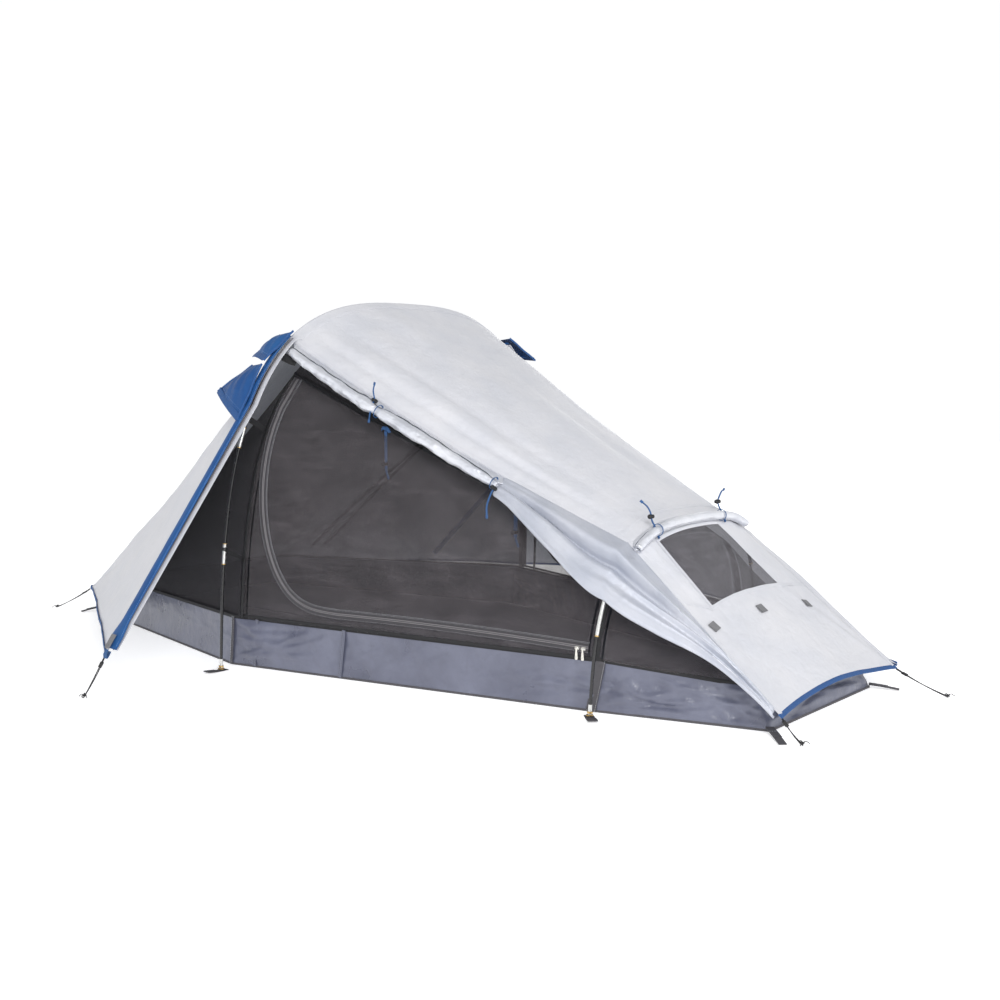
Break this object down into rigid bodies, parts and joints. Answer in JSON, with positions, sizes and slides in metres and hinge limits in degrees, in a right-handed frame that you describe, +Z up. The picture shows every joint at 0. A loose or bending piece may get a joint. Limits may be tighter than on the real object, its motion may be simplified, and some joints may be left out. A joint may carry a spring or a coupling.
{
  "type": "two-hoop hiking tent",
  "caption": "Low two-hoop backpacking tent, tapered, with silver fly, one fly door rolled up, mesh inner with hinged mesh doors, hooded vents and tub floor.",
  "frame": {"origin": "on the ground under the middle of the tent, on its centre line", "axes": "+X from the head end to the foot end, +Y to the side whose fly door is closed, +Z up"},
  "size_m": [2.9433, 2.2682, 1.0531],
  "materials": {
    "silver_fly": "silver-coated polyester, slight sheen",
    "blue_trim": "blue ripstop polyester",
    "dark_mesh": "fine black-brown netting",
    "grey_floor": "slate-grey coated polyester",
    "black_webbing": "woven webbing",
    "black_fibreglass": "smooth fibreglass rod",
    "black_plastic": "moulded nylon",
    "bright_metal": "bright plated metal",
    "elastic_cord": "elastic shock cord",
    "guy_cord": "braided cord"
  },
  "bodies": {
    "tent": {"door_toggle_front": "black_plastic", "door_toggle_rear": "black_plastic", "floor_tub": "grey_floor", "fly_door_far": "silver_fly", "fly_door_near_roll": "silver_fly", "fly_door_near_skirt": "silver_fly", "fly_nose_panel": "silver_fly", "fly_roof_panel": "silver_fly", "fly_tail_panel": "silver_fly", "front_foot_tab_far": "black_webbing", "front_foot_tab_near": "black_webbing", "front_pole_section_1": "black_fibreglass", "front_pole_section_2": "black_fibreglass", "front_pole_section_3": "black_fibreglass", "front_pole_section_4": "black_fibreglass", "front_pole_section_5": "black_fibreglass", "front_pole_section_6": "black_fibreglass", "front_pole_section_7": "black_fibreglass", "front_pole_section_8": "black_fibreglass", "front_pole_section_9": "black_fibreglass", "front_shock_cord": "elastic_cord", "guy_line_nose_far": "guy_cord", "guy_line_nose_near": "guy_cord", "guy_line_peg_far": "guy_cord", "guy_line_peg_near": "guy_cord", "guy_line_tail_far": "guy_cord", "guy_line_tail_near": "guy_cord", "inner_nose_mesh": "dark_mesh", "inner_roof_mesh": "dark_mesh", "inner_side_far": "dark_mesh", "inner_side_near": "dark_mesh", "inner_tail_mesh": "dark_mesh", "rear_foot_tab_far": "black_webbing", "rear_foot_tab_near": "black_webbing", "rear_pole_section_1": "black_fibreglass", "rear_pole_section_2": "black_fibreglass", "rear_pole_section_3": "black_fibreglass", "rear_pole_section_4": "black_fibreglass", "rear_pole_section_5": "black_fibreglass", "rear_shock_cord": "elastic_cord", "storm_flap_far": "blue_trim", "storm_flap_near": "blue_trim", "window_cover_roll": "silver_fly", "window_mesh": "dark_mesh", "window_toggle_far": "black_plastic", "window_toggle_near": "black_plastic"},
    "mesh_door_near": {"mesh_door_near": "dark_mesh"},
    "zip_slider_near_1": {"zip_slider_near_1": "bright_metal"},
    "zip_pull_near_1": {"zip_pull_near_1": "bright_metal"},
    "zip_slider_near_2": {"zip_slider_near_2": "bright_metal"},
    "zip_pull_near_2": {"zip_pull_near_2": "bright_metal"},
    "vent_hood_near_lower": {"vent_hood_near_lower": "blue_trim"},
    "vent_hood_near_upper": {"vent_hood_near_upper": "blue_trim"},
    "mesh_door_far": {"mesh_door_far": "dark_mesh"},
    "zip_slider_far_1": {"zip_slider_far_1": "bright_metal"},
    "zip_pull_far_1": {"zip_pull_far_1": "bright_metal"},
    "zip_slider_far_2": {"zip_slider_far_2": "bright_metal"},
    "zip_pull_far_2": {"zip_pull_far_2": "bright_metal"},
    "vent_hood_far_lower": {"vent_hood_far_lower": "blue_trim"},
    "vent_hood_far_upper": {"vent_hood_far_upper": "blue_trim"}
  },
  "joints": [
    {"name": "mesh_door_near_swing", "type": "hinge", "parent": "tent", "child": "mesh_door_near", "pos_m": [0.36312, -0.38139, 0.59201], "axis": [-0.9058, -0.1272, 0.4043], "range_deg": [0, 28]},
    {"name": "zip_slider_near_1_slide", "type": "slide", "parent": "tent", "child": "zip_slider_near_1", "axis": [-0.9765, -0.2138, 0.0264], "range_m": [0, 0.57]},
    {"name": "zip_pull_near_1_swing", "type": "hinge", "parent": "zip_slider_near_1", "child": "zip_pull_near_1", "pos_m": [0.82061, -0.42203, 0.15742], "axis": [-1, 0, 0], "range_deg": [0, 100]},
    {"name": "zip_slider_near_2_slide", "type": "slide", "parent": "tent", "child": "zip_slider_near_2", "axis": [0.9765, 0.2138, -0.0264], "range_m": [0, 0.01]},
    {"name": "zip_pull_near_2_swing", "type": "hinge", "parent": "zip_slider_near_2", "child": "zip_pull_near_2", "pos_m": [0.83693, -0.41846, 0.15654], "axis": [-1, 0, 0], "range_deg": [0, 100]},
    {"name": "vent_hood_near_lower_fold", "type": "hinge", "parent": "tent", "child": "vent_hood_near_lower", "pos_m": [-0.1735, -0.583, 0.868], "axis": [-0.0543, -0.4724, -0.8797], "range_deg": [0, 25]},
    {"name": "vent_hood_near_upper_fold", "type": "hinge", "parent": "tent", "child": "vent_hood_near_upper", "pos_m": [-0.1735, -0.48, 0.955], "axis": [-0.0295, -0.8119, -0.5831], "range_deg": [0, 25]},
    {"name": "mesh_door_far_swing", "type": "hinge", "parent": "tent", "child": "mesh_door_far", "pos_m": [0.36312, 0.32639, 0.59201], "axis": [0.8915, -0.2168, -0.3979], "range_deg": [0, 22]},
    {"name": "zip_slider_far_1_slide", "type": "slide", "parent": "tent", "child": "zip_slider_far_1", "axis": [-0.9521, 0.3046, 0.0258], "range_m": [0, 0.57]},
    {"name": "zip_pull_far_1_swing", "type": "hinge", "parent": "zip_slider_far_1", "child": "zip_pull_far_1", "pos_m": [0.82119, 0.31869, 0.15737], "axis": [1, 0, 0], "range_deg": [0, 100]},
    {"name": "zip_slider_far_2_slide", "type": "slide", "parent": "tent", "child": "zip_slider_far_2", "axis": [0.9521, -0.3046, -0.0258], "range_m": [0, 0.01]},
    {"name": "zip_pull_far_2_swing", "type": "hinge", "parent": "zip_slider_far_2", "child": "zip_pull_far_2", "pos_m": [0.83751, 0.31348, 0.15649], "axis": [1, 0, 0], "range_deg": [0, 100]},
    {"name": "vent_hood_far_lower_fold", "type": "hinge", "parent": "tent", "child": "vent_hood_far_lower", "pos_m": [-0.1735, 0.583, 0.868], "axis": [0.0543, -0.4724, 0.8797], "range_deg": [0, 25]},
    {"name": "vent_hood_far_upper_fold", "type": "hinge", "parent": "tent", "child": "vent_hood_far_upper", "pos_m": [-0.1735, 0.48, 0.955], "axis": [0.0295, -0.8119, 0.5831], "range_deg": [0, 25]}
  ]
}
